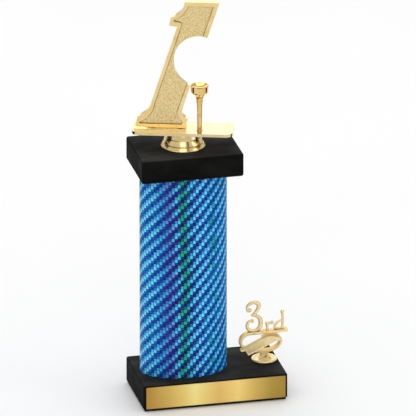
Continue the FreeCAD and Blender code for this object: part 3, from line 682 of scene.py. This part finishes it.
def finish_cad_pieces():
    stone = black_stone()
    steel = zinc_steel()
    for node in ("base_slab", "lid_slab"):
        paint_node(node, stone)
    paint_node("golf_tee", gold("gold_tee", roughness=0.11, deep=colour(0.70, 0.45, 0.12), pale=colour(0.84, 0.62, 0.26)))
    paint_node("riser", gold("gold_riser", roughness=0.17))
    plate_gold = gold("gold_plate", deep=colour(0.66, 0.52, 0.27), pale=colour(0.73, 0.61, 0.37), coat=0.4)
    paint_node("figure_plate", plate_gold)
    cast = cast_gold("gold_cast", 0.75)
    for node in ("trim_ribbon", "trim_bar", "trim_numeral", "trim_letter_r", "trim_letter_d"):
        paint_node(node, cast)
    paint_node("trim_foot", cast_gold("gold_foot", 0.0))
    trim_figures(cast)
    trim_ribbon(cast)
    for node in ("tie_rod", "rod_nut", "rod_washer", "rod_lock_washer", "figure_insert_nut", "trim_screw", "trim_washer"):
        paint_node(node, steel)
    plug = moulded_plastic("plug_plastic_black", colour(0.03, 0.03, 0.03), colour(0.05, 0.05, 0.05))
    paint_node("lower_plug", plug)
    paint_node("upper_plug", plug)
    paint_node("name_plate_tape", moulded_plastic("plate_tape_foam", colour(0.66, 0.65, 0.61), colour(0.76, 0.75, 0.71)))
    paint_node("figure_numeral", numeral_gold())
    paint_node("column_wrap", column_film())
    paint_node("column_core", column_board())
    paint_node("name_plate", plate_brass())
    paint_node("base_felt", black_felt())
    soften_edges("figure_numeral", 0.5, 2)
    soften_edges("figure_plate", 0.35, 2)
    soften_edges("trim_foot", 0.3, 2)


# ---------------------------------------------------------------- studio

SET_MIDDLE = Vector((0, 0, 0.25))


def area_light(name, place, width, height, radiance, aim):
    """A soft box that faces the aim point. Its power follows from its size and brightness."""
    data = bpy.data.lights.new(name, "AREA")
    data.shape = "RECTANGLE"
    data.size = width
    data.size_y = height
    data.energy = math.pi * width * height * radiance
    light = bpy.data.objects.new(name, data)
    bpy.context.scene.collection.objects.link(light)
    light.location = place
    light.rotation_mode = "QUATERNION"
    light.rotation_quaternion = (aim - Vector(place)).to_track_quat("-Z", "Y")
    light.visible_camera = False
    return light


def stage_panel(name, corners, material):
    """A flat panel of the studio, from its corner points."""
    mesh = bpy.data.meshes.new(name)
    mesh.from_pydata(corners, [], [list(range(len(corners)))])
    mesh.materials.append(material)
    panel = bpy.data.objects.new(name, mesh)
    bpy.context.scene.collection.objects.link(panel)
    return panel


def floor():
    reach = 14.0
    corners = [(-reach, -reach, 0), (reach, -reach, 0), (reach, reach, 0), (-reach, reach, 0)]
    stage_panel("floor", corners, floor_paper())


def dark_card(name, turn, rise, away, width, tall):
    """A black card beside the set. Only shiny surfaces see it, as a dark reflection."""
    paint = Paint(name + "_black", Roughness=1.0, Specular_IOR_Level=0.0)
    nap = paint.cloud(paint.millimetres(), 0.01)
    paint.surface("Base Color", paint.mix(nap, colour(0.01, 0.01, 0.01), colour(0.02, 0.02, 0.02)))
    turn = CAMERA_TURN + math.radians(turn)
    rise = math.radians(rise)
    toward = Vector((math.sin(turn) * math.cos(rise), -math.cos(turn) * math.cos(rise), math.sin(rise)))
    side = Vector((math.cos(turn), math.sin(turn), 0))
    up = side.cross(toward)
    centre = SET_MIDDLE + toward * away
    side = side * width / 2
    up = up * tall / 2
    card = stage_panel(name, [centre - side - up, centre + side - up, centre + side + up, centre - side + up], paint.material)
    card.visible_camera = False
    card.visible_diffuse = False
    card.visible_shadow = False
    card.visible_transmission = False


def studio():
    world = bpy.data.worlds.new("studio")
    world.use_nodes = True
    background = world.node_tree.nodes["Background"]
    background.inputs["Color"].default_value = (1.0, 1.0, 1.0, 1)
    background.inputs["Strength"].default_value = 0.68
    bpy.context.scene.world = world
    aim = SET_MIDDLE
    area_light("key_box", (-0.5, -1.9, 1.6), 1.2, 1.2, 1.1, aim)
    area_light("fill_box", (1.7, -1.0, 0.9), 0.9, 1.3, 1.0, aim)
    area_light("top_box", (0.0, 0.4, 2.0), 1.6, 1.6, 1.6, aim)
    area_light("back_box", (0.3, 2.4, 1.3), 2.4, 1.2, 0.95, aim)
    floor()
    dark_card("left_card", -99, -10, 0.45, 0.36, 0.30)
    dark_card("right_card", 98, -10, 0.45, 0.20, 0.30)
    dark_card("front_card", 29, 33, 0.90, 0.14, 0.50)
    dark_card("roof_card", -7, 68, 1.00, 0.60, 0.30)


def camera():
    """The photograph's view: from the front left, a little above, with a long lens."""
    low, high = cad_box
    rise = math.radians(21.8)
    away = 9.0
    seen_wide = 0.36017
    sensor = 36.0
    aim = (low + high) / 2 + Vector((-0.0034, -0.0035, -0.0102))
    toward = Vector((math.sin(CAMERA_TURN) * math.cos(rise), -math.cos(CAMERA_TURN) * math.cos(rise), math.sin(rise)))
    data = bpy.data.cameras.new("camera")
    data.sensor_width = sensor
    data.lens = sensor * away / seen_wide
    data.clip_end = 40
    view = bpy.data.objects.new("camera", data)
    bpy.context.scene.collection.objects.link(view)
    view.location = aim + toward * away
    view.rotation_mode = "QUATERNION"
    view.rotation_quaternion = (-toward).to_track_quat("-Z", "Y")
    bpy.context.scene.camera = view
    bpy.context.scene.view_settings.view_transform = "Standard"


finish_cad_pieces()
studio()
camera()
